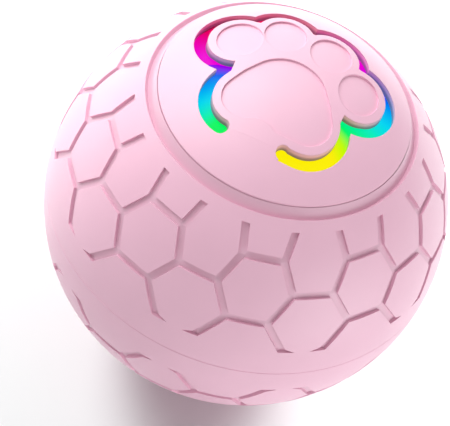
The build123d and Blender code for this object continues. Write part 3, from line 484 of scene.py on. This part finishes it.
def rounded(node, name, body, slot, width):
    """Soft piece with rounded edges. Before that, the CAD file's split corners are joined and its flats made whole."""
    piece = stand_in(node, name, body)
    mesh = piece.data
    joined = bmesh.new()
    joined.from_mesh(mesh)
    bmesh.ops.remove_doubles(joined, verts=joined.verts, dist=WELD_DISTANCE)
    bmesh.ops.dissolve_limit(joined, angle_limit=math.radians(FLAT_ANGLE), verts=joined.verts, edges=joined.edges)
    joined.to_mesh(mesh)
    joined.free()
    if "custom_normal" in mesh.attributes:
        mesh.attributes.remove(mesh.attributes["custom_normal"])
    mesh.shade_smooth()
    mesh.set_sharp_from_angle(angle=math.radians(SHARP_ANGLE))
    bevel = piece.modifiers.new("moulded_edges", "BEVEL")
    bevel.width = width
    bevel.segments = ROUNDING_STEPS
    bevel.limit_method = "ANGLE"
    bevel.use_clamp_overlap = False
    bevel.harden_normals = True


# Camera, floor and light


def camera_axes():
    """Camera's axes in the frame: raised over -Y, then rolled."""
    tilt = Matrix.Rotation(math.radians(90 - CAMERA_ELEVATION), 4, "X")
    return tilt @ Matrix.Rotation(math.radians(CAMERA_ROLL), 4, "Z")


def add_camera():
    """Camera of the photograph, whose lens gives the ball's outline its radius in the picture at that distance."""
    data = bpy.data.cameras.new("photo_camera")
    camera = bpy.data.objects.new("photo_camera", data)
    bpy.context.scene.collection.objects.link(camera)
    focal_pixels = BALL_OUTLINE_RADIUS * math.sqrt(CAMERA_DISTANCE ** 2 - 1)
    data.sensor_width = SENSOR_WIDTH
    data.lens = focal_pixels / PICTURE_WIDTH * SENSOR_WIDTH
    data.shift_x = (PICTURE_WIDTH / 2 - BALL_CENTRE_X) / PICTURE_WIDTH
    data.shift_y = (BALL_CENTRE_Y - PICTURE_HEIGHT / 2) / PICTURE_WIDTH
    data.clip_start, data.clip_end = CAMERA_CLIP
    axes = camera_axes()
    camera.matrix_world = Matrix.Translation(axes @ Vector((0, 0, CAMERA_DISTANCE * BALL_RADIUS))) @ axes
    bpy.context.scene.camera = camera


def add_lamp(name, direction, distance, size, share, floor):
    """Soft square lamp, which either lights the floor alone, or lights all else as if the floor were not there."""
    data = bpy.data.lights.new(name, "AREA")
    data.shape = "SQUARE"
    data.size = size
    data.energy = share * (math.pi * distance) ** 2
    lamp = bpy.data.objects.new(name, data)
    bpy.context.scene.collection.objects.link(lamp)
    towards = (camera_axes().to_3x3() @ Vector(direction)).normalized()
    lamp.location = towards * distance
    lamp.rotation_euler = towards.to_track_quat("Z", "Y").to_euler()
    linked = bpy.data.collections.new(name + "_floor_link")
    linked.objects.link(floor)
    linked.collection_objects[0].light_linking.link_state = "INCLUDE" if name in FLOOR_LAMPS else "EXCLUDE"
    lamp.light_linking.receiver_collection = linked
    if name not in FLOOR_LAMPS:
        lamp.light_linking.blocker_collection = linked


def seen_or_mirrored(tree):
    """One for rays from the camera, a mirror or a glass, and zero for the others."""
    path = add_node(tree, "LightPath", {}).outputs
    seen = calculated(tree, "MAXIMUM", path["Is Camera Ray"], path["Is Glossy Ray"])
    return calculated(tree, "MAXIMUM", seen, path["Is Transmission Ray"])


def add_floor():
    """Pale floor that keeps the ball's shadow, is white where nothing shades it, and is clear from underneath."""
    bpy.ops.mesh.primitive_plane_add(size=FLOOR_SIZE, location=(0, 0, FLOOR_HEIGHT))
    floor = bpy.context.object
    floor.name = "studio_floor"
    material, tree, shader = new_material("studio_floor")
    seen = seen_or_mirrored(tree)
    lift = ranged(tree, seen, target=(FLOOR_CAST_LIFT, FLOOR_SEEN_LIFT))
    far = ranged(tree, length(tree, object_place(tree)), FLOOR_FADE)
    white = calculated(tree, "MULTIPLY", seen, far)
    feed(tree, shader.inputs, {
        "Base Color": mixed(tree, seen, FLOOR_CAST, FLOOR_SEEN),
        "Roughness": FLOOR_ROUGHNESS,
        "Specular IOR Level": 0.0,
        "Emission Color": (1, 1, 1, 1),
        "Emission Strength": calculated(tree, "ADD", lift, white),
    })
    underneath = add_node(tree, "NewGeometry", {}).outputs["Backfacing"]
    clear = add_node(tree, "BsdfTransparent", {}).outputs[0]
    one_sided = add_node(tree, "MixShader", {0: underneath, 1: shader.outputs[0], 2: clear})
    feed(tree, tree.nodes["Material Output"].inputs, {"Surface": one_sided.outputs[0]})
    floor.data.materials.append(material)
    return floor


def add_world():
    """Even pale surroundings, white where the camera, a mirror or a glass sees them."""
    world = bpy.data.worlds.new("studio")
    bpy.context.scene.world = world
    world.use_nodes = True
    tree = world.node_tree
    strength = ranged(tree, seen_or_mirrored(tree), target=(WORLD_LEVEL, 1.0))
    feed(tree, tree.nodes["Background"].inputs, {"Color": (1, 1, 1, 1), "Strength": strength})


paint_everything()
closed_paw_plate()
for soft_piece in SOFT_PIECES:
    rounded(*soft_piece)
add_camera()
studio_floor = add_floor()
add_world()
for lamp_name, lamp_values in {**BALL_LAMPS, **FLOOR_LAMPS}.items():
    add_lamp(lamp_name, *lamp_values, studio_floor)
bpy.context.scene.view_settings.view_transform = "Standard"
